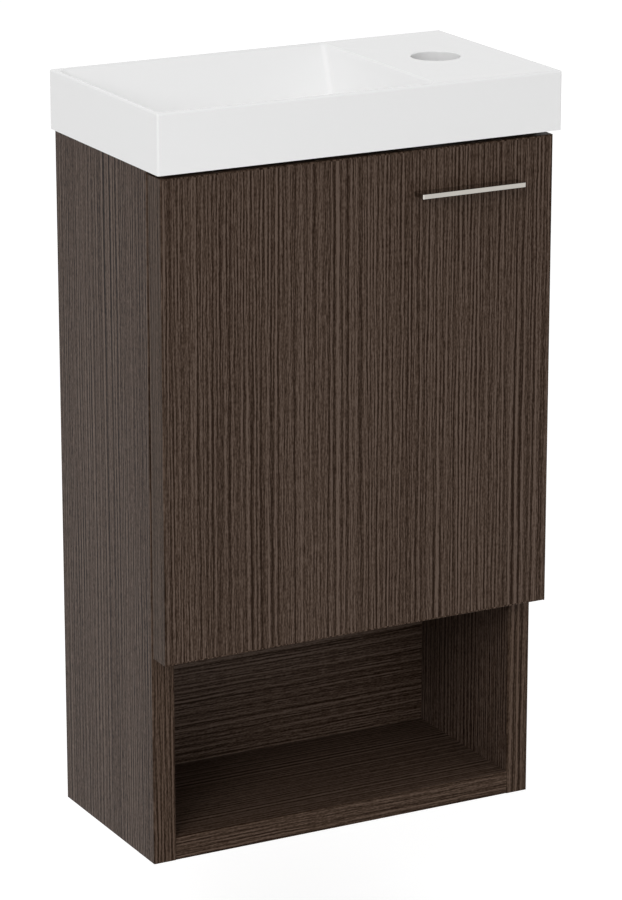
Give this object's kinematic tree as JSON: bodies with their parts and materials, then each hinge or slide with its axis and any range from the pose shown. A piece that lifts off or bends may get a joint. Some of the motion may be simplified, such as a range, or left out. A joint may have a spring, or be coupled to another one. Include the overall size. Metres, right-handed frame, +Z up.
{
  "type": "under-sink cabinet",
  "caption": "Slim wall-hung under-sink cabinet in dark lined laminate with a white basin on top, an overlay door on cup hinges, a slim lip handle and an open niche below.",
  "frame": {"origin": "centre of the carcass underside", "axes": "+X to the right seen from the front, +Y to the wall behind, -Y to the front, +Z up"},
  "size_m": [0.4, 0.2299, 0.695],
  "materials": {
    "dark_lined_laminate": "satin lined woodgrain laminate",
    "laminate_edge_band": "satin lined woodgrain edge band",
    "white_basin": "gloss white",
    "polished_chrome": "polished",
    "plated_steel": "nickel plated",
    "beech_dowel": "raw",
    "clear_rubber": "clear soft"
  },
  "bodies": {
    "cabinet": {"left_side_panel": "dark_lined_laminate", "right_side_panel": "dark_lined_laminate", "bottom_panel": "dark_lined_laminate", "niche_shelf": "dark_lined_laminate", "niche_back_panel": "dark_lined_laminate", "front_rail": "dark_lined_laminate", "hanging_rail": "dark_lined_laminate", "left_side_edge_band": "laminate_edge_band", "right_side_edge_band": "laminate_edge_band", "bottom_edge_band": "laminate_edge_band", "niche_shelf_edge_band": "laminate_edge_band", "dowels": "beech_dowel", "basin": "white_basin", "upper_hinge_arm": "plated_steel", "lower_hinge_arm": "plated_steel", "upper_hinge_plate": "plated_steel", "lower_hinge_plate": "plated_steel", "hinge_plate_screws": "plated_steel", "hinge_arm_screws": "plated_steel"},
    "door": {"door_panel": "dark_lined_laminate", "door_edge_bands": "laminate_edge_band", "door_bumpers": "clear_rubber", "handle": "polished_chrome", "handle_screws": "plated_steel", "hinge_cup_screws": "plated_steel", "upper_hinge_cup": "plated_steel", "lower_hinge_cup": "plated_steel", "upper_hinge_pin": "plated_steel", "lower_hinge_pin": "plated_steel"}
  },
  "joints": [
    {"name": "door_swing", "type": "hinge", "parent": "cabinet", "child": "door", "pos_m": [-0.18781, -0.10625, 0.417], "axis": [0, 0, -1], "range_deg": [0, 95]}
  ]
}
